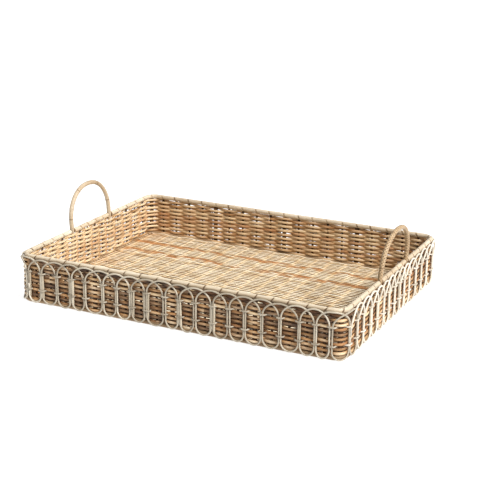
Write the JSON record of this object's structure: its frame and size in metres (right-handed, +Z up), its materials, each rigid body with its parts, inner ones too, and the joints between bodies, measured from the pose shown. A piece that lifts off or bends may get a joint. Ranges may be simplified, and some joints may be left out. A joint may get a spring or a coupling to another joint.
{
  "type": "serving tray",
  "caption": "Woven rattan serving tray with rounded corners, interlaced cane loops round the outside and a bent-rod handle at each short end.",
  "frame": {"origin": "on the ground under the middle of the tray", "axes": "+X along the long side towards the right handle, +Y towards the back, +Z up; -Y is the front"},
  "size_m": [0.6264, 0.4704, 0.1623],
  "materials": {
    "peeled_rod": "peeled rattan rod, satin",
    "base_rod": "greyed rattan rod, matt",
    "stake": "natural rattan stake, matt",
    "wall_weave": "woven brown and tan rattan core, matt",
    "floor_weave": "woven pale rattan core, satin",
    "pale_cane": "pale greyish cane, satin"
  },
  "bodies": {
    "root": {"base_rod_back": "base_rod", "base_rod_front": "base_rod", "binding_lower": "pale_cane", "binding_upper": "pale_cane", "corner_post_back_left": "stake", "corner_post_back_right": "stake", "corner_post_front_left": "stake", "corner_post_front_right": "stake", "floor_weave": "floor_weave", "handle_left": "peeled_rod", "handle_right": "peeled_rod", "loop_cane_back": "pale_cane", "loop_cane_front": "pale_cane", "loop_cane_left": "pale_cane", "loop_cane_right": "pale_cane", "post_back_left": "stake", "post_back_middle": "stake", "post_back_right": "stake", "post_front_left": "stake", "post_front_middle": "stake", "post_front_right": "stake", "rim_back": "peeled_rod", "rim_front": "peeled_rod", "rim_left": "peeled_rod", "rim_right": "peeled_rod", "wall_weave_back": "wall_weave", "wall_weave_front": "wall_weave", "wall_weave_left": "wall_weave", "wall_weave_right": "wall_weave"}
  },
  "joints": []
}
